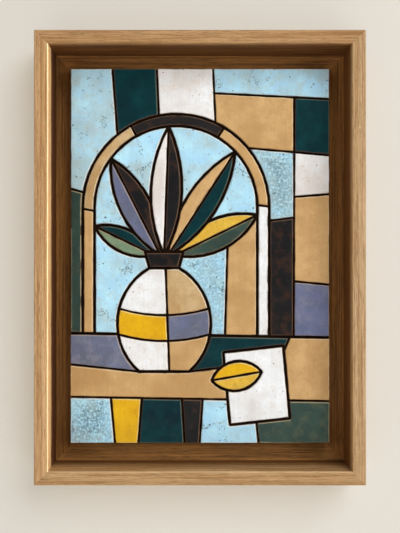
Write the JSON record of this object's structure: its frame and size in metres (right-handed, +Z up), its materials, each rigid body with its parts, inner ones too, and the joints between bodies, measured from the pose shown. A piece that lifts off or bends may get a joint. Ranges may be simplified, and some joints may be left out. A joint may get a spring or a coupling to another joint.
{
  "type": "framed mosaic panel",
  "caption": "Wall-hung mosaic panel: hand-cut glazed tiles with dark joints showing a jug of leaves, in a deep mitred oak box frame.",
  "frame": {"origin": "centre of the top rail's flat back face, where the panel is held to the wall", "axes": "+X to the right seen from the front, +Y into the wall, +Z up; the tiles face -Y"},
  "size_m": [0.43, 0.065, 0.59],
  "materials": {
    "oak": "satin",
    "board": "matte",
    "mortar": "matte",
    "glaze_pale_blue": "gloss",
    "glaze_ochre": "satin",
    "glaze_white": "satin",
    "glaze_teal": "gloss",
    "glaze_black": "satin",
    "glaze_slate": "satin",
    "glaze_sage": "satin",
    "glaze_yellow": "gloss",
    "glaze_mustard": "gloss",
    "glaze_cream": "satin"
  },
  "bodies": {
    "root": {"carrier_board": "board", "mortar_bed": "mortar", "rail_bottom": "oak", "rail_left": "oak", "rail_right": "oak", "rail_top": "oak", "tile_apron_1": "glaze_pale_blue", "tile_apron_2": "glaze_yellow", "tile_apron_3": "glaze_teal", "tile_apron_4": "glaze_black", "tile_apron_5": "glaze_pale_blue", "tile_apron_6": "glaze_sage", "tile_arch_jamb_left": "glaze_ochre", "tile_arch_jamb_right": "glaze_white", "tile_arch_ring_left": "glaze_cream", "tile_arch_ring_right": "glaze_ochre", "tile_arch_ring_top": "glaze_black", "tile_cloth": "glaze_white", "tile_column_inner_high": "glaze_pale_blue", "tile_column_inner_low": "glaze_black", "tile_column_outer_high": "glaze_white", "tile_column_outer_low": "glaze_slate", "tile_column_outer_middle": "glaze_ochre", "tile_column_outer_top": "glaze_teal", "tile_jug_band_left": "glaze_yellow", "tile_jug_band_right": "glaze_slate", "tile_jug_foot_left": "glaze_white", "tile_jug_foot_right": "glaze_ochre", "tile_jug_neck": "glaze_black", "tile_jug_shoulder_left": "glaze_white", "tile_jug_shoulder_right": "glaze_cream", "tile_leaf_high_left_lower": "glaze_black", "tile_leaf_high_left_upper": "glaze_slate", "tile_leaf_high_right_lower": "glaze_teal", "tile_leaf_high_right_upper": "glaze_ochre", "tile_leaf_low_left_lower": "glaze_teal", "tile_leaf_low_left_upper": "glaze_sage", "tile_leaf_low_right_lower": "glaze_sage", "tile_leaf_low_right_upper": "glaze_mustard", "tile_leaf_middle_lower": "glaze_black", "tile_leaf_middle_upper": "glaze_white", "tile_lemon_lower": "glaze_mustard", "tile_lemon_upper": "glaze_yellow", "tile_sky_above_left": "glaze_pale_blue", "tile_sky_above_right": "glaze_pale_blue", "tile_sky_left_high": "glaze_pale_blue", "tile_sky_left_low": "glaze_pale_blue", "tile_sky_right_high": "glaze_pale_blue", "tile_sky_right_inner": "glaze_pale_blue", "tile_sky_right_outer": "glaze_ochre", "tile_table_back_left": "glaze_slate", "tile_table_back_right": "glaze_teal", "tile_table_end": "glaze_ochre", "tile_table_front_left": "glaze_ochre", "tile_wall_above_left": "glaze_teal", "tile_wall_above_middle": "glaze_white", "tile_wall_above_right": "glaze_ochre", "tile_wall_left_high": "glaze_pale_blue", "tile_wall_left_low": "glaze_sage", "tile_wall_top_right": "glaze_pale_blue"}
  },
  "joints": []
}
